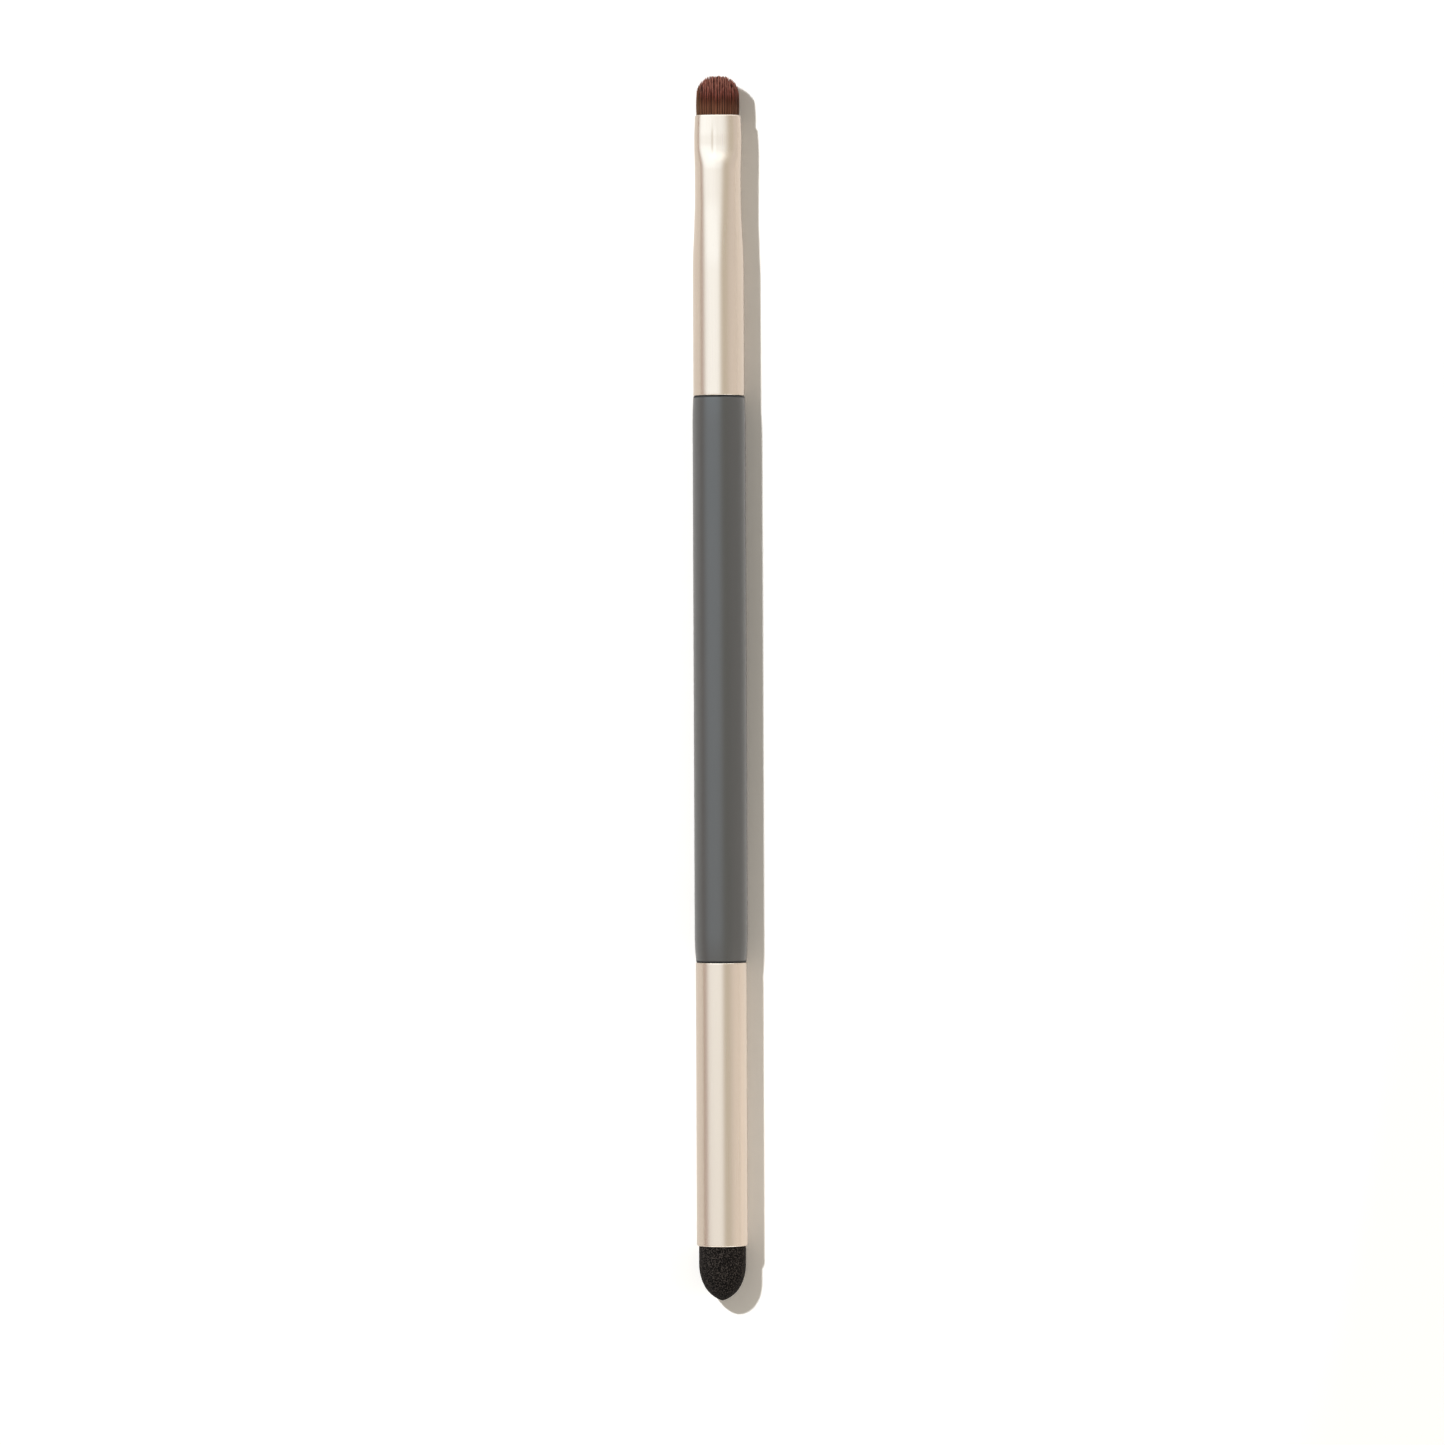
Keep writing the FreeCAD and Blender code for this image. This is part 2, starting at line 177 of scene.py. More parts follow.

# Semi-matt lacquer over wood: a soft wide highlight, with the faint ripple of a dipped coat, drawn
# out along the handle, and fine flatting grains in it. The glue line at each end is dull, and is
# painted near black as the shade in the groove between handle and ferrule.
LACQUER_RIPPLE = 1.6
RIPPLE_STRETCH = 0.15
LACQUER_GRAIN = 0.25
LACQUER_SMOOTHEST, LACQUER_ROUGHEST = 0.29, 0.35
LACQUER_GLOSS = 0.78
JOINT_ROUGHNESS = 1.0
GRAIN_HEIGHT = 0.004
lacquer, tree, surface = new_finish("semi_matt_grey_lacquer", roughness=0.32, ior=1.52)
place = add(tree, "ShaderNodeTexCoord").outputs["Object"]
stretched = add(tree, "ShaderNodeMapping", {"Vector": place, "Scale": (1, RIPPLE_STRETCH, 1)})
ripple = add(tree, "ShaderNodeTexNoise", {
    "Vector": stretched.outputs["Vector"], "Scale": 1 / (LACQUER_RIPPLE * MM), "Detail": 3.0,
})
grain = add(tree, "ShaderNodeTexNoise", {
    "Vector": place, "Scale": 1 / (LACQUER_GRAIN * MM), "Detail": 2.0,
})
shade = add(tree, "ShaderNodeMix", {
    "Factor": ripple.outputs["Fac"], "A": linear(LACQUER_GREY), "B": linear(LACQUER_PALE),
}, data_type="RGBA")
from_middle = add(tree, "ShaderNodeMath", {
    0: add(tree, "ShaderNodeSeparateXYZ", {"Vector": place}).outputs["Y"],
    1: (HANDLE_BRUSH_END + HANDLE_SPONGE_END) / 2 * MM,
}, operation="SUBTRACT")
past_middle = add(tree, "ShaderNodeMath", {0: from_middle.outputs["Value"]}, operation="ABSOLUTE")
half_length = (HANDLE_BRUSH_END - HANDLE_SPONGE_END) / 2
in_joint = add(tree, "ShaderNodeMapRange", {
    "Value": past_middle.outputs["Value"],
    "From Min": (half_length - JOINT_LINE_START) * MM,
    "From Max": (half_length - JOINT_LINE_FULL) * MM,
})
# Painted shade: the glue line at each joint is darkened to stand in for the shade in the groove
glue_and_shade = add(tree, "ShaderNodeMix", {
    "Factor": in_joint.outputs["Result"], "A": shade.outputs["Result"], "B": linear(JOINT_GLUE_AND_SHADE),
}, data_type="RGBA")
tree.links.new(glue_and_shade.outputs["Result"], surface.inputs["Base Color"])
surface.inputs["Specular IOR Level"].default_value = LACQUER_GLOSS
sheen = add(tree, "ShaderNodeMapRange", {
    "Value": grain.outputs["Fac"], "To Min": LACQUER_SMOOTHEST, "To Max": LACQUER_ROUGHEST,
})
dulled = add(tree, "ShaderNodeMix", {
    "Factor": in_joint.outputs["Result"], "A": sheen.outputs["Result"], "B": JOINT_ROUGHNESS,
})
tree.links.new(dulled.outputs["Result"], surface.inputs["Roughness"])
relief = add(tree, "ShaderNodeBump", {
    "Height": grain.outputs["Fac"], "Strength": 0.12, "Distance": GRAIN_HEIGHT * MM,
})
tree.links.new(relief.outputs["Normal"], surface.inputs["Normal"])

handle.data.materials.append(lacquer)
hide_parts("handle")
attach(handle, "root")


# Brush ferrule: aluminium tube drawn to 0.3 mm wall, tapered to a neck, then pinched between two
# jaws so that its mouth is a flattened oval that grips the bristles. Satin champagne anodising.
TUBE_RADIUS = 3.70
TUBE_WALL = 0.30
RIM_ROUND = 0.18
BRUSH_MOUTH_ROUND = 0.22
BORE_ROUND = 0.04
HOLDING = 0.03
BRUSH_ROW_SPACING = 0.25
FERRULE_POINTS_AROUND = 224
NECK_RADIUS = 3.35
STRAIGHT_LENGTH = 19.2
TAPER_LENGTH = 8.2
TAPER_BEND = 1.2
TAPER_BEND_SAMPLES = 25
PINCH_START = 32.6
PINCH_BLEND = 3.4
LAND_END = 37.5
BRUSH_FERRULE_LENGTH = 40.4
PINCH_SPREAD = 0.07
PINCH_DEPTH = 0.75
PINCH_SQUARENESS = 3.2
NECK_SQUARENESS = 2.45
MOUTH_DRAW = 0.13

# The seam between the crimping jaws leaves a faint dimple along the pinched face
DIMPLE_ACROSS = -0.65
DIMPLE_ALONG = 36.6
DIMPLE_HALF_WIDTH = 0.24
DIMPLE_HALF_LENGTH = 1.9
DIMPLE_DEPTH = 0.030

CHAMPAGNE = "#C8BAAC"
CHAMPAGNE_DULL = "#C5B7A9"


def eased(fraction):
    """Smooth step from 0 to 1."""
    held = min(max(fraction, 0), 1)
    return held * held * (3 - 2 * held)


def brush_tube(distance, inset=0.0):
    """Half sizes and form of the brush ferrule at a distance from the handle, less an inset."""
    near = distance + np.linspace(-TAPER_BEND, TAPER_BEND, TAPER_BEND_SAMPLES)
    narrowing = np.clip((near - STRAIGHT_LENGTH) / TAPER_LENGTH, 0, 1).mean()
    radius = TUBE_RADIUS - (TUBE_RADIUS - NECK_RADIUS) * narrowing - inset
    pinch = eased((distance - PINCH_START) / PINCH_BLEND)
    drawn = MOUTH_DRAW * np.clip((distance - LAND_END) / (BRUSH_FERRULE_LENGTH - LAND_END), 0, 1)
    half_width = radius + PINCH_SPREAD * pinch - drawn
    half_height = radius - PINCH_DEPTH * pinch - drawn
    taper_start = STRAIGHT_LENGTH - TAPER_BEND
    neck = 2 + (NECK_SQUARENESS - 2) * eased((distance - taper_start) / (PINCH_START - taper_start))
    return half_width, half_height, neck + (PINCH_SQUARENESS - NECK_SQUARENESS) * pinch


def tube_edge(end, facing, radius, turns):
    """Rows of a rounded edge at a tube's end: distance from the handle, and inset."""
    turns = np.radians(turns)
    return list(zip(end - facing * radius * (1 - np.sin(turns)), radius * (1 - np.cos(turns))))


def ferrule_rows(tube, foot, side, length, mouth_round, spacing):
    """Rows of a thin drawn tube: up its outside, over its rounded mouth, and down its bore.

    Side is +1 for a tube that runs from the handle towards +Y, and -1 for one towards -Y. A row
    close to each rounded edge holds the metal flat up to it.
    """
    mouth = length - mouth_round
    outside = np.linspace(RIM_ROUND, mouth, int(mouth / spacing))[1:-1]
    rings = tube_edge(0, -1, RIM_ROUND, (90, 75, 60, 45, 30, 15, 0))
    rings += [(distance, 0) for distance in (RIM_ROUND + HOLDING, *outside, mouth - HOLDING)]
    rings += tube_edge(length, 1, mouth_round, (0, 15, 30, 45, 60, 75, 90))
    for distance, inset in tube_edge(length, 1, BORE_ROUND, (90, 45, 0)):
        rings.append((distance, TUBE_WALL - inset))
    for distance in np.linspace(length - BORE_ROUND, 0, int(length / spacing / 2))[1:]:
        rings.append((distance, TUBE_WALL))
    rows = []
    for distance, inset in rings:
        half_sizes = tube(distance, inset)
        rows.append(ring_points(foot + side * distance, *half_sizes, FERRULE_POINTS_AROUND))
    return np.array(rows[::side])


rows = ferrule_rows(brush_tube, HANDLE_BRUSH_END, 1, BRUSH_FERRULE_LENGTH, BRUSH_MOUTH_ROUND,
                    BRUSH_ROW_SPACING)
across, along, height = rows[..., 0], rows[..., 1] - HANDLE_BRUSH_END, rows[..., 2]
face = np.sign(height - AXIS_HEIGHT)
dimple = np.exp(-((across - face * DIMPLE_ACROSS) / DIMPLE_HALF_WIDTH) ** 2)
dimple *= np.exp(-((along - DIMPLE_ALONG) / DIMPLE_HALF_LENGTH) ** 4)
rows[..., 2] -= face * DIMPLE_DEPTH * dimple
brush_ferrule = skinned("brush_ferrule_tube", rows, True)

# Satin anodised aluminium: a clean metal reflection that the etched skin blurs, with the faint
# lengthwise lines of the drawing die. Real ones are 0.02 mm apart, and these 0.15 mm to show.
DIE_LINES = 0.15
DIE_LINE_STRETCH = 0.01
SATIN_SMOOTHEST, SATIN_ROUGHEST = 0.26, 0.28
anodised, tree, surface = new_finish("champagne_anodised_aluminium", roughness=0.27, metallic=1.0)
place = add(tree, "ShaderNodeTexCoord").outputs["Object"]
drawn_out = add(tree, "ShaderNodeMapping", {"Vector": place, "Scale": (1, DIE_LINE_STRETCH, 1)})
lines = add(tree, "ShaderNodeTexNoise", {
    "Vector": drawn_out.outputs["Vector"], "Scale": 1 / (DIE_LINES * MM), "Detail": 2.0,
})
shade = add(tree, "ShaderNodeMix", {
    "Factor": lines.outputs["Fac"], "A": linear(CHAMPAGNE), "B": linear(CHAMPAGNE_DULL),
}, data_type="RGBA")
tree.links.new(shade.outputs["Result"], surface.inputs["Base Color"])
satin = add(tree, "ShaderNodeMapRange", {
    "Value": lines.outputs["Fac"], "To Min": SATIN_SMOOTHEST, "To Max": SATIN_ROUGHEST,
})
tree.links.new(satin.outputs["Result"], surface.inputs["Roughness"])

brush_ferrule.data.materials.append(anodised)
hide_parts("brush_ferrule")
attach(brush_ferrule, "root")


# Bristle tuft: some thousands of fine dyed hairs, tied, cut to a low dome and pushed up through
# the ferrule from behind, so that the pinched mouth grips them. Their tips fade to a rosy brown,
# painted lighter in part as the highlight that the hair ends catch.
HAIRS = 4600
HAIR_JITTER = 0.006
HAIR_RADIUS = 0.045
HAIR_THINNING = 0.7
HAIR_LEVELS = np.array((0.0, 0.3, 0.55, 0.75, 0.9, 0.97, 1.0))
TUFT_MOUTH = HANDLE_BRUSH_END + BRUSH_FERRULE_LENGTH
TUFT_ROOT_DEPTH = 0.9
TUFT_REACH = 5.75
TUFT_DOME = 2.5
TUFT_HALF_WIDTH = 3.0
TUFT_HALF_HEIGHT = 2.13
TUFT_SPREAD = 0.06
LOCK_COLUMNS = 25
LOCK_COLUMNS_START = -3.5
LOCK_WIDTHS = (0.30, 0.48)
LOCK_DEPTH = 0.40
LOCK_STAGGER = 0.4
LOCK_PULL = 0.25
LOCK_UNEVENNESS = 0.10
LOCK_LEAN = 0.03
HAIR_UNEVENNESS = 0.13
HAIR_SHORTFALL = 0.10
HAIR_LEAN = 0.03
STRAY_SHARE = 0.03
STRAY_REACH = 0.12
TIP_CLEARANCE = 0.01

HAIR_TIP_AND_HIGHLIGHT = "#D89684"
HAIR_ROSY = "#A25C50"
HAIR_DARK = "#6E3B2A"
HAIR_BROWN = "#8E5C46"
HAIR_SHADED = "#7E5A42"
HAIR_LEFT_HIGHLIGHT = "#7E5C3C"

chance = np.random.default_rng(11)


def spread_evenly(count, jitter):
    """Spots spread evenly over a disc of radius 1: distance from its centre, and turn."""
    out = np.sqrt((np.arange(count) + 0.5) / count)
    turn = np.arange(count) * math.pi * (3 - math.sqrt(5))
    out = np.clip(out + chance.normal(0, jitter, count), 0, 1)
    return out, turn + chance.normal(0, jitter, count)


def in_tuft(out, turn):
    """Place across and up in the tuft, in mm, of spots on the disc."""
    wide = np.abs(np.cos(turn) / TUFT_HALF_WIDTH) ** PINCH_SQUARENESS
    high = np.abs(np.sin(turn) / TUFT_HALF_HEIGHT) ** PINCH_SQUARENESS
    reach = out * (wide + high) ** (-1 / PINCH_SQUARENESS)
    return np.stack([reach * np.cos(turn), reach * np.sin(turn)], axis=1)


out, turn = spread_evenly(HAIRS, HAIR_JITTER)
roots = in_tuft(out, turn)

# The hairs gather in locks. Partings spaced from side to side cut the tuft into columns, and the
# locks of each column are staggered against those of the next.
partings = LOCK_COLUMNS_START + np.cumsum(chance.uniform(*LOCK_WIDTHS, LOCK_COLUMNS))
column = np.searchsorted(partings, roots[:, 0])
left, right = partings[column - 1], partings[column]
lock_row = np.round(roots[:, 1] / LOCK_DEPTH + LOCK_STAGGER * column)
lock_height = (lock_row - LOCK_STAGGER * column) * LOCK_DEPTH
lock_middle = np.stack([(left + right) / 2, lock_height], axis=1)
lock_half = np.stack([(right - left) / 2, np.full(HAIRS, LOCK_DEPTH / 2)], axis=1)
locks, lock = np.unique(np.stack([column, lock_row], axis=1), axis=0, return_inverse=True)
lock = lock.ravel()
lock_rise = chance.normal(0, LOCK_UNEVENNESS, len(locks))
lock_shade = chance.uniform(0, 1, len(locks))
lock_lean = chance.normal(0, LOCK_LEAN, (len(locks), 2))

stray = chance.uniform(0, 1, HAIRS) < STRAY_SHARE
dome = TUFT_DOME * np.sqrt(1 - out ** 2)
tip_height = TUFT_REACH - TUFT_DOME + dome + lock_rise[lock]
tip_height += chance.normal(-HAIR_SHORTFALL, HAIR_UNEVENNESS, HAIRS) + STRAY_REACH * stray
tip_height = np.minimum(tip_height, TUFT_REACH - TIP_CLEARANCE)
lean = lock_lean[lock] + chance.normal(0, HAIR_LEAN, (HAIRS, 2))
lean += roots / TUFT_HALF_WIDTH * STRAY_REACH * stray[:, None]

levels = HAIR_LEVELS[None, :, None]
spots = roots[:, None] * (1 + TUFT_SPREAD * levels * (1 - levels ** 3))
pull = LOCK_PULL * (lock_middle - roots) + lean
spots = spots + pull[:, None] * levels ** 3
lengths = HAIR_LEVELS[None] * (tip_height + TUFT_ROOT_DEPTH)[:, None]
thickness = HAIR_RADIUS * (1 - HAIR_THINNING * HAIR_LEVELS ** 4)
spin = chance.uniform(0, 2 * math.pi, HAIRS)
corners = spin[:, None] + np.arange(3) * 2 * math.pi / 3
sides = len(HAIR_LEVELS) - 1
hair = np.zeros((HAIRS, sides * 3 + 1, 3))
for level in range(sides):
    ring_here = slice(level * 3, level * 3 + 3)
    hair[:, ring_here, 0] = spots[:, level, 0, None] + thickness[level] * np.cos(corners)
    hair[:, ring_here, 1] = lengths[:, level, None]
    hair[:, ring_here, 2] = spots[:, level, 1, None] + thickness[level] * np.sin(corners)
hair[:, -1] = np.stack([spots[:, -1, 0], lengths[:, -1], spots[:, -1, 1]], axis=1)
hair[..., 1] += TUFT_MOUTH - TUFT_ROOT_DEPTH
hair[..., 2] += AXIS_HEIGHT

one_hair = [(0, 1, 2)]
for level in range(sides - 1):
    for i in range(3):
        here, beside = level * 3 + i, level * 3 + (i + 1) % 3
        one_hair.append((here, here + 3, beside + 3, beside))
tip_ring = (sides - 1) * 3
one_hair += [(tip_ring + i, tip_ring + 3, tip_ring + (i + 1) % 3) for i in range(3)]
per_hair = hair.shape[1]
faces = [tuple(k * per_hair + v for v in f) for k in range(HAIRS) for f in one_hair]
mesh = bpy.data.meshes.new("bristles")
mesh.from_pydata((hair.reshape(-1, 3) * MM).tolist(), [], faces)
mesh.polygons.foreach_set("use_smooth", [True] * len(mesh.polygons))

# Each hair carries its own tone, with painted shade that darkens it towards the parting beside it,
# and how far each point is from its tip, as a share of the fade's length
LOCK_VARIETY = 0.15
HAIR_VARIETY = 0.15
PARTING_SHADE = 0.70
FADE_LENGTH = 10
across_lock, down_lock = (np.abs(roots - lock_middle) / lock_half).T
on_side = np.abs(roots[:, 0]) / TUFT_HALF_WIDTH > np.abs(roots[:, 1]) / TUFT_HALF_HEIGHT
to_parting = np.where(on_side, down_lock, across_lock)
own_shade = chance.uniform(0, 1, HAIRS)
tone_and_parting_shade = LOCK_VARIETY * lock_shade[lock] + HAIR_VARIETY * own_shade
# Painted shade: hairs beside a parting are darker, standing in for the shade between locks
tone_and_parting_shade += PARTING_SHADE * (1 - to_parting ** 2)
from_tip = np.zeros((HAIRS, per_hair))
for level in range(sides):
    from_tip[:, level * 3:level * 3 + 3] = (lengths[:, -1] - lengths[:, level])[:, None]
corner_values = np.stack([
    np.repeat(tone_and_parting_shade, per_hair), from_tip.ravel() / FADE_LENGTH,
], axis=1)
loop_points = np.zeros(len(mesh.loops), dtype=np.int32)
mesh.loops.foreach_get("vertex_index", loop_points)
hair_map = mesh.uv_layers.new(name="shade_and_distance_from_tip")
hair_map.data.foreach_set("uv", corner_values[loop_points].ravel())
tuft = bpy.data.objects.new("bristles", mesh)
bpy.context.scene.collection.objects.link(tuft)

# Dyed fine hair: soft and a little glossy, rosy at the tips with a painted highlight on the hair
# ends, brown below, with painted shade where locks part, and a straw-coloured painted highlight at
# the left side, which faces the key lamp.
LEFT_HIGHLIGHT_START, LEFT_HIGHLIGHT_END = -2.3, -2.8
LEFT_HIGHLIGHT_SHARE = 0.6
SHADE_LOW, SHADE_HIGH = 0.15, 0.95
HAIR_DARKEST, HAIR_LIGHTEST = 0.03, 1.08
HAIR_GLOSS = 0.25
dyed_hair, tree, surface = new_finish("dyed_fine_hair", roughness=0.55, ior=1.45)
hair_map_here = add(tree, "ShaderNodeUVMap").outputs["UV"]
hair_values = add(tree, "ShaderNodeSeparateXYZ", {"Vector": hair_map_here})
fade = add(tree, "ShaderNodeValToRGB", {"Fac": hair_values.outputs["Y"]})
ramp = fade.color_ramp
# The tip colour is partly a painted highlight on the hair ends
ramp.elements[0].position, ramp.elements[0].color = 0.0, linear(HAIR_TIP_AND_HIGHLIGHT)
ramp.elements[1].position, ramp.elements[1].color = 4.8 / FADE_LENGTH, linear(HAIR_SHADED)
for distance, colour in ((0.5, HAIR_ROSY), (1.3, HAIR_DARK), (2.3, HAIR_BROWN)):
    ramp.elements.new(distance / FADE_LENGTH).color = linear(colour)
place = add(tree, "ShaderNodeTexCoord").outputs["Object"]
# Painted highlight: the left side of the tuft, towards the key lamp, is paler and straw-coloured
left_highlight = add(tree, "ShaderNodeMapRange", {
    "Value": add(tree, "ShaderNodeSeparateXYZ", {"Vector": place}).outputs["X"],
    "From Min": LEFT_HIGHLIGHT_START * MM, "From Max": LEFT_HIGHLIGHT_END * MM, "To Min": 0.0, "To Max": LEFT_HIGHLIGHT_SHARE,
})
highlighted = add(tree, "ShaderNodeMix", {
    "Factor": left_highlight.outputs["Result"], "A": fade.outputs["Color"], "B": linear(HAIR_LEFT_HIGHLIGHT),
}, data_type="RGBA")
tone_and_shade = add(tree, "ShaderNodeMapRange", {
    "Value": hair_values.outputs["X"], "From Min": SHADE_LOW, "From Max": SHADE_HIGH,
    "To Min": HAIR_DARKEST, "To Max": HAIR_LIGHTEST,
})
dyed = add(tree, "ShaderNodeVectorMath", {
    0: highlighted.outputs["Result"], "Scale": tone_and_shade.outputs["Result"],
}, operation="SCALE")
tree.links.new(dyed.outputs["Vector"], surface.inputs["Base Color"])
surface.inputs["Specular IOR Level"].default_value = HAIR_GLOSS

tuft.data.materials.append(dyed_hair)
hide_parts("bristle_tuft")
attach(tuft, "root")


# Glue plug: clear resin poured behind the bristles' root, which sets with a few fine bubbles.
# It is hidden in the ferrule, and keeps its CAD solid.
RESIN_AMBER = "#B98A4A"
RESIN_CLOUD = "#D3B07A"
BUBBLE_SPACING = 0.8
RESIN_CLEARNESS = 0.35
resin, tree, surface = new_finish("set_amber_resin", roughness=0.2, ior=1.55)
surface.inputs["Transmission Weight"].default_value = RESIN_CLEARNESS
place = add(tree, "ShaderNodeTexCoord").outputs["Object"]
bubbles = add(tree, "ShaderNodeTexVoronoi", {"Vector": place, "Scale": 1 / (BUBBLE_SPACING * MM)})
shade = add(tree, "ShaderNodeMix", {
    "Factor": bubbles.outputs["Distance"], "A": linear(RESIN_CLOUD), "B": linear(RESIN_AMBER),
}, data_type="RGBA")
tree.links.new(shade.outputs["Result"], surface.inputs["Base Color"])
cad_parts["tuft_glue_plug"].material_slots[0].material = resin


# Sponge ferrule: the same drawn and anodised tube, left straight, its mouth rolled to a soft rim.
SPONGE_FERRULE_LENGTH = 40.8
SPONGE_RIM_ROUND = 0.22
SPONGE_ROW_SPACING = 2.0


def sponge_tube(distance, inset=0.0):
    """Half sizes and form of the sponge ferrule, which is the same all along."""
    return TUBE_RADIUS - inset, TUBE_RADIUS - inset, 2.0


rows = ferrule_rows(sponge_tube, HANDLE_SPONGE_END, -1, SPONGE_FERRULE_LENGTH, SPONGE_RIM_ROUND,
                    SPONGE_ROW_SPACING)
sponge_ferrule = skinned("sponge_ferrule_tube", rows, True)
sponge_ferrule.data.materials.append(anodised)
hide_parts("sponge_ferrule")
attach(sponge_ferrule, "root")


# Sponge stem: a plug with a peg, injection moulded in white ABS, glued in the ferrule behind the
# foam. It is hidden, and keeps its CAD solid.
ABS_WHITE = "#DBDAD6"
ABS_CREAM = "#D2D0C8"
MOULD_TEXTURE = 0.3
white_abs, tree, surface = new_finish("moulded_white_abs", roughness=0.45, ior=1.54)
place = add(tree, "ShaderNodeTexCoord").outputs["Object"]
spark = add(tree, "ShaderNodeTexNoise", {"Vector": place, "Scale": 1 / (MOULD_TEXTURE * MM)})
shade = add(tree, "ShaderNodeMix", {
    "Factor": spark.outputs["Fac"], "A": linear(ABS_WHITE), "B": linear(ABS_CREAM),
}, data_type="RGBA")
tree.links.new(shade.outputs["Result"], surface.inputs["Base Color"])
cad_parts["sponge_stem"].material_slots[0].material = white_abs


# Sponge tip: a bullet ground from fine-celled black foam, glued on the stem's peg. Its nose comes
# to a blunt point. The cut cells leave fine pits all over it.
FOAM_RADIUS = 3.38
FOAM_TIP = -88.175
FOAM_ROOT = -71.275
NOSE_LENGTH = 5.2
NOSE_TURNS = np.radians((0, 27, 69, 90))
NOSE_TIP_RADIUS = 0.8
FOAM_HOLE_RADIUS = 1.22
FOAM_HOLE_END = -83.295
FOAM_HOLE_CHAMFER = 0.5
CELL = 0.18
PIT_DEPTH = 0.04
PIT_REACH = 0.55
PIT_VARIETY = 0.5
PIT_VARIETY_SCALE = 0.6
FOAM_ROW_SPACING = 0.085
FOAM_POINTS_AROUND = 256
NOSE_POINT_RADIUS = 0.004


def nose_radii():
    """Radii of the nose's shoulder and flank, so that its three arcs meet and reach its length."""
    _, first, last, _ = NOSE_TURNS
    reach = NOSE_LENGTH - NOSE_TIP_RADIUS * (1 - math.sin(last))
    inward = FOAM_RADIUS - NOSE_TIP_RADIUS * math.cos(last)
    rise = [[math.sin(first), math.sin(last) - math.sin(first)],
            [1 - math.cos(first), math.cos(first) - math.cos(last)]]
    return (*np.linalg.solve(rise, (reach, inward)), NOSE_TIP_RADIUS)


nose = []
forward, radius = 0.0, FOAM_RADIUS
for bow, start, end in zip(nose_radii(), NOSE_TURNS, NOSE_TURNS[1:]):
    steps = max(4, int(bow * (end - start) / FOAM_ROW_SPACING))
    turns = np.linspace(start, end, steps + 1)[1:]
    for turn in turns:
        nose.append((forward + bow * (math.sin(turn) - math.sin(start)),
                     radius - bow * (math.cos(start) - math.cos(turn))))
    forward, radius = nose[-1]
nose_start = FOAM_TIP + NOSE_LENGTH
foam_rings = []
for forward, radius in reversed(nose):
    foam_rings.append(round_ring(nose_start - forward, max(radius, NOSE_POINT_RADIUS)))
for along in np.arange(nose_start, FOAM_ROOT, FOAM_ROW_SPACING):
    foam_rings.append(round_ring(along, FOAM_RADIUS))
pitted = len(foam_rings) * FOAM_POINTS_AROUND
foam_rings += [
    round_ring(FOAM_ROOT, FOAM_RADIUS),
    round_ring(FOAM_ROOT, FOAM_HOLE_RADIUS),
    round_ring(FOAM_HOLE_END + FOAM_HOLE_CHAMFER, FOAM_HOLE_RADIUS),
    round_ring(FOAM_HOLE_END, FOAM_HOLE_RADIUS - FOAM_HOLE_CHAMFER),
]
rows = np.array([ring_points(*ring, FOAM_POINTS_AROUND) for ring in foam_rings])
foam_tip = skinned("foam_tip", rows, False)
skin_points = foam_tip.data.vertices[:pitted]
outwards = [point.normal.copy() for point in skin_points]
for point, outward in zip(skin_points, outwards):
    spot = point.co / (CELL * MM)
    from_cell_centre = noise.voronoi(spot)[0][0]
    pit = max(0.0, 1 - from_cell_centre / PIT_REACH)
    pit += PIT_VARIETY * noise.noise(spot * PIT_VARIETY_SCALE)
    point.co -= outward * PIT_DEPTH * MM * min(max(pit, 0), 1)

# Fine-celled black foam: dull and nearly black, with painted shade that makes each pit a little
# darker and a painted highlight that makes each cell wall a little paler, and a finer painted
# speckle over both where the light catches single walls.
FOAM_SPECKLE = 0.7 * CELL
PIT_SHADE_BELOW, WALL_HIGHLIGHT_ABOVE = 0.21, 0.42
FOAM_RELIEF = 0.05
FOAM_GLOSS = 0.08
FOAM_BLACK = "#050404"
FOAM_WALL_HIGHLIGHT = "#433E3B"
foam, tree, surface = new_finish("black_fine_celled_foam", roughness=0.85, ior=1.4)
place = add(tree, "ShaderNodeTexCoord").outputs["Object"]
cells = add(tree, "ShaderNodeTexVoronoi", {"Vector": place, "Scale": 1 / (CELL * MM)})
speckle = add(tree, "ShaderNodeTexNoise", {
    "Vector": place, "Scale": 1 / (FOAM_SPECKLE * MM), "Detail": 2.0,
})
mixed = add(tree, "ShaderNodeMath", {
    0: cells.outputs["Distance"], 1: speckle.outputs["Fac"],
}, operation="MULTIPLY")
# Painted shade and highlight: darker in the pits, paler on the cell walls and the speckle
pit_shade_and_wall_highlight = add(tree, "ShaderNodeMapRange", {
    "Value": mixed.outputs["Value"], "From Min": PIT_SHADE_BELOW, "From Max": WALL_HIGHLIGHT_ABOVE,
})
shade = add(tree, "ShaderNodeMix", {
    "Factor": pit_shade_and_wall_highlight.outputs["Result"], "A": linear(FOAM_BLACK), "B": linear(FOAM_WALL_HIGHLIGHT),
}, data_type="RGBA")
tree.links.new(shade.outputs["Result"], surface.inputs["Base Color"])
relief = add(tree, "ShaderNodeBump", {
    "Height": mixed.outputs["Value"], "Strength": 0.5, "Distance": FOAM_RELIEF * MM,
})
tree.links.new(relief.outputs["Normal"], surface.inputs["Normal"])
surface.inputs["Specular IOR Level"].default_value = FOAM_GLOSS

foam_tip.data.materials.append(foam)
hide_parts("sponge_tip")
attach(foam_tip, "root")


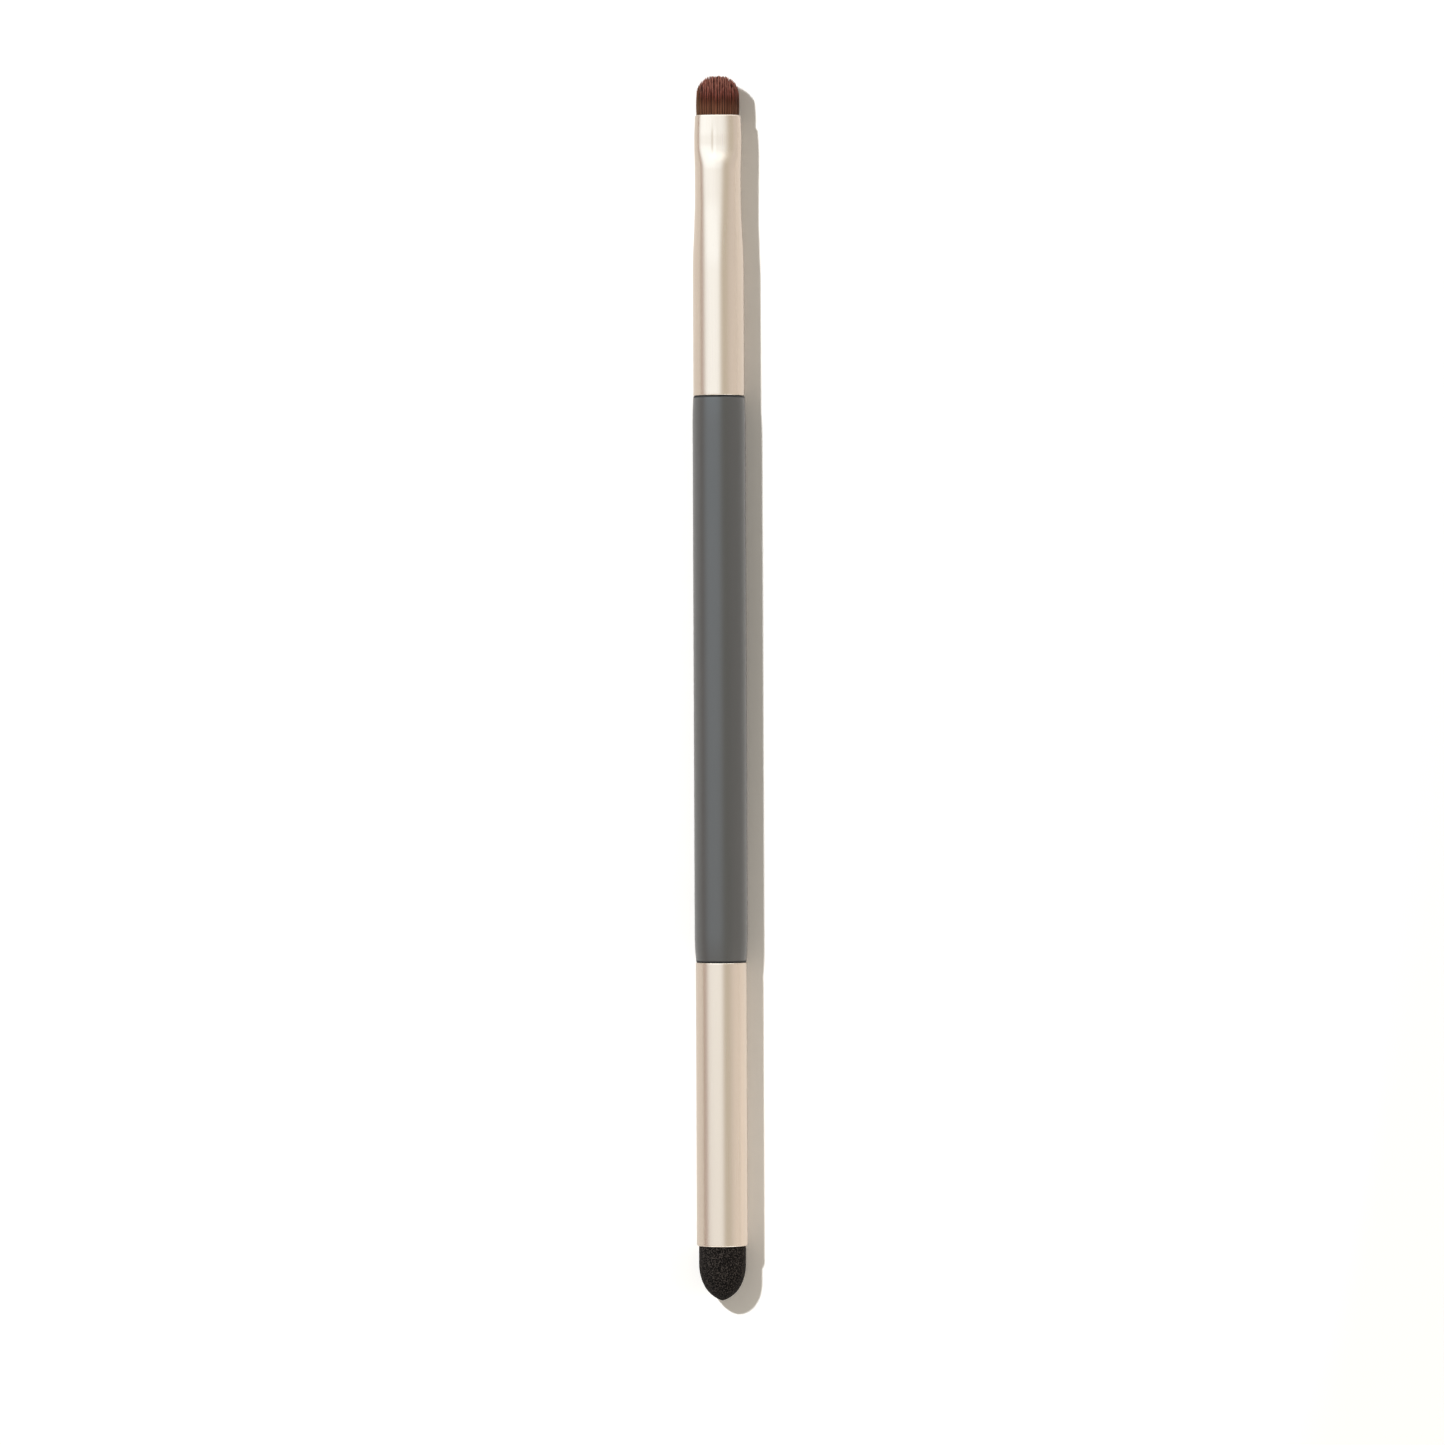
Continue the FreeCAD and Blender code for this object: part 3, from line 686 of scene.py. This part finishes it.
# Table: a smooth matt white sheet under the brush, as in a product picture. It is seen a little
# brighter than it lights the brush, so that its white is clean and the shadow on it stays.
TABLE_WHITE = (0.95, 0.95, 0.95, 1)
TABLE_SEEN = (1.10, 1.10, 1.10, 1)
TABLE_HALF = 2.0
mesh = bpy.data.meshes.new("white_table")
square = [(-TABLE_HALF, -TABLE_HALF, 0), (TABLE_HALF, -TABLE_HALF, 0),
          (TABLE_HALF, TABLE_HALF, 0), (-TABLE_HALF, TABLE_HALF, 0)]
mesh.from_pydata(square, [], [(0, 1, 2, 3)])
table = bpy.data.objects.new("white_table", mesh)
bpy.context.scene.collection.objects.link(table)
matt_card, tree, surface = new_finish("matt_white_card", roughness=0.9)
tree.nodes.remove(surface)
path = add(tree, "ShaderNodeLightPath")
straight = add(tree, "ShaderNodeMath", {
    0: path.outputs["Is Camera Ray"], 1: path.outputs["Is Transmission Ray"],
}, operation="MAXIMUM")
seen = add(tree, "ShaderNodeMath", {
    0: straight.outputs["Value"], 1: path.outputs["Is Glossy Ray"],
}, operation="MAXIMUM")
whiteness = add(tree, "ShaderNodeMix", {
    "Factor": seen.outputs["Value"], "A": TABLE_WHITE, "B": TABLE_SEEN,
}, data_type="RGBA", clamp_result=False)
matt = add(tree, "ShaderNodeBsdfDiffuse", {"Color": whiteness.outputs["Result"]})
tree.links.new(matt.outputs["BSDF"], tree.nodes["Material Output"].inputs["Surface"])
table.data.materials.append(matt_card)


# Light: one soft key lamp 0.9 m away at the upper left, kept even over the table, a little fill
# from all round, a reflector beside each ferrule, and the studio that the metal mirrors.
KEY_PLACE = (-363, 322, 724)
KEY_ON_TABLE = 0.71
KEY_RADIUS = 19
FILL = 0.285
FILL_WARMTH = (1.0, 0.94, 0.82, 1)
key = bpy.data.lights.new("key", "POINT")
key.energy = KEY_ON_TABLE * 4 * math.pi ** 2 / Vector(KEY_PLACE).normalized().z
key.shadow_soft_size = KEY_RADIUS * MM
key.use_nodes = True
tree = key.node_tree
even = add(tree, "ShaderNodeLightFalloff", {"Strength": 1.0})
tree.links.new(even.outputs["Constant"], tree.nodes["Emission"].inputs["Strength"])
key_lamp = bpy.data.objects.new("key", key)
key_lamp.location = Vector(KEY_PLACE) * MM
key_lamp.visible_glossy = False
key_lamp.visible_camera = False
bpy.context.scene.collection.objects.link(key_lamp)

# A reflector stands to the right of each ferrule and opens the shadow there with a warm light
REFLECTOR_SIZE = 60
REFLECTOR_WARMTH = (1.0, 0.86, 0.72)
REFLECTORS = (
    ((62, 80, 42), (8, 70, 0), 0.006),
    ((62, -75, 42), (8, -65, 0), 0.015),
)
for place, aim, power in REFLECTORS:
    reflector = bpy.data.lights.new("reflector", "AREA")
    reflector.shape, reflector.size = "DISK", REFLECTOR_SIZE * MM
    reflector.energy = power
    reflector.color = REFLECTOR_WARMTH
    reflector_card = bpy.data.objects.new("reflector", reflector)
    reflector_card.location = Vector(place) * MM
    facing = Vector(place) - Vector(aim)
    reflector_card.rotation_euler = facing.to_track_quat("Z", "Y").to_euler()
    reflector_card.visible_glossy = False
    reflector_card.visible_camera = False
    bpy.context.scene.collection.objects.link(reflector_card)

world = bpy.data.worlds.new("studio")
bpy.context.scene.world = world
world.use_nodes = True
tree = world.node_tree
tree.nodes.clear()
towards = add(tree, "ShaderNodeSeparateXYZ", {
    "Vector": add(tree, "ShaderNodeTexCoord").outputs["Generated"],
})
sideways = add(tree, "ShaderNodeMath", {
    0: towards.outputs["X"], 1: towards.outputs["Z"],
}, operation="ARCTAN2").outputs["Value"]


def strip(angle, start, full, fading, end):
    """How far a direction lies in a soft-edged strip, by its angle from straight up in degrees."""
    rising = add(tree, "ShaderNodeMapRange", {
        "Value": angle, "From Min": math.radians(start), "From Max": math.radians(full),
    }, interpolation_type="SMOOTHSTEP")
    falling = add(tree, "ShaderNodeMapRange", {
        "Value": angle, "From Min": math.radians(fading), "From Max": math.radians(end),
        "To Min": 1.0, "To Max": 0.0,
    }, interpolation_type="SMOOTHSTEP")
    return add(tree, "ShaderNodeMath", {
        0: rising.outputs["Result"], 1: falling.outputs["Result"],
    }, operation="MULTIPLY").outputs["Value"]


# What metal sees: a pale room, a dim gap on each side, a softbox overhead that is brighter near the
# bristles, a warm wall to the right of the sponge end, and a bright panel high at each end, which
# only rounded rims catch. Each span says at which angles its strip starts, is full, starts to fade
# and ends, in degrees from straight up: negative to the left, or else towards either end.
ROOM = (1.06, 1.03, 1.0, 1)
LEFT_GAP = (0.75, 0.64, 0.59, 1)
LEFT_GAP_SPAN = (-110, -88, -70, -60)
RIGHT_GAP = (0.92, 0.90, 0.80, 1)
RIGHT_GAP_SPAN = (5, 15, 30, 55)
WALL_NEAR_SPONGE = (1.33, 1.27, 1.18, 1)
WALL_NEAR_SPONGE_SPAN = (35, 75, 130, 160)
SOFTBOX_NEAR_BRISTLES = (1.90, 2.16, 2.38, 1)
SOFTBOX_NEAR_BRISTLES_SPAN = (-84, -48, -4, 17)
SOFTBOX_NEAR_SPONGE = (1.18, 1.16, 1.11, 1)
SOFTBOX_NEAR_SPONGE_SPAN = (-72, -20, -6, 14)
END_PANELS = (3.6, 3.85, 3.95, 1)
END_PANELS_SPAN = (38, 55, 60, 71)
ALL_SPONGE_SIDE, ALL_BRISTLE_SIDE = -0.2, 0.15


def blended(factor, first, second):
    """Colour that goes from the first to the second as the factor rises."""
    return add(tree, "ShaderNodeMix", {"Factor": factor, "A": first, "B": second},
               data_type="RGBA").outputs["Result"]


towards_bristles = add(tree, "ShaderNodeMapRange", {
    "Value": towards.outputs["Y"], "From Min": ALL_SPONGE_SIDE, "From Max": ALL_BRISTLE_SIDE,
}, interpolation_type="SMOOTHSTEP").outputs["Result"]
room = blended(strip(sideways, *LEFT_GAP_SPAN), ROOM, LEFT_GAP)
room = blended(strip(sideways, *RIGHT_GAP_SPAN), room, RIGHT_GAP)
overhead = strip(sideways, *SOFTBOX_NEAR_BRISTLES_SPAN)
near_bristles = blended(overhead, room, SOFTBOX_NEAR_BRISTLES)
near_sponge = blended(strip(sideways, *WALL_NEAR_SPONGE_SPAN), room, WALL_NEAR_SPONGE)
overhead = strip(sideways, *SOFTBOX_NEAR_SPONGE_SPAN)
near_sponge = blended(overhead, near_sponge, SOFTBOX_NEAR_SPONGE)
room = blended(towards_bristles, near_sponge, near_bristles)
along = add(tree, "ShaderNodeMath", {0: towards.outputs["Y"]}, operation="ABSOLUTE")
lengthwise = add(tree, "ShaderNodeMath", {
    0: along.outputs["Value"],
}, operation="ARCSINE").outputs["Value"]
room = blended(strip(lengthwise, *END_PANELS_SPAN), room, END_PANELS)
seen_by_metal = add(tree, "ShaderNodeBackground", {"Color": room, "Strength": 1.0})
plain_white = add(tree, "ShaderNodeBackground", {"Color": (1, 1, 1, 1), "Strength": 1.0})
fill = add(tree, "ShaderNodeBackground", {"Color": FILL_WARMTH, "Strength": FILL})
path = add(tree, "ShaderNodeLightPath")
glossy_or_fill = add(tree, "ShaderNodeMixShader", {
    0: path.outputs["Is Glossy Ray"],
    1: fill.outputs["Background"], 2: seen_by_metal.outputs["Background"],
})
seen_straight = add(tree, "ShaderNodeMath", {
    0: path.outputs["Is Camera Ray"], 1: path.outputs["Is Transmission Ray"],
}, operation="MAXIMUM")
sky = add(tree, "ShaderNodeMixShader", {
    0: seen_straight.outputs["Value"],
    1: glossy_or_fill.outputs["Shader"], 2: plain_white.outputs["Background"],
})
add(tree, "ShaderNodeOutputWorld", {"Surface": sky.outputs["Shader"]})


# Camera: straight above the brush on a long lens, turned a quarter of a degree.
CAMERA_HEIGHT = 980
CAMERA_ACROSS = 0.317
CAMERA_ALONG = -4.96
CAMERA_TURN = -0.24
CAMERA_LENS = 169.55
camera = bpy.data.cameras.new("camera")
camera.lens = CAMERA_LENS
camera.sensor_width = 36
camera.clip_start, camera.clip_end = 0.05, 10
stand = bpy.data.objects.new("camera", camera)
stand.location = (CAMERA_ACROSS * MM, CAMERA_ALONG * MM, (CAMERA_HEIGHT + AXIS_HEIGHT) * MM)
stand.rotation_euler = (0, 0, math.radians(CAMERA_TURN))
bpy.context.scene.collection.objects.link(stand)
bpy.context.scene.camera = stand
bpy.context.scene.view_settings.view_transform = "Standard"
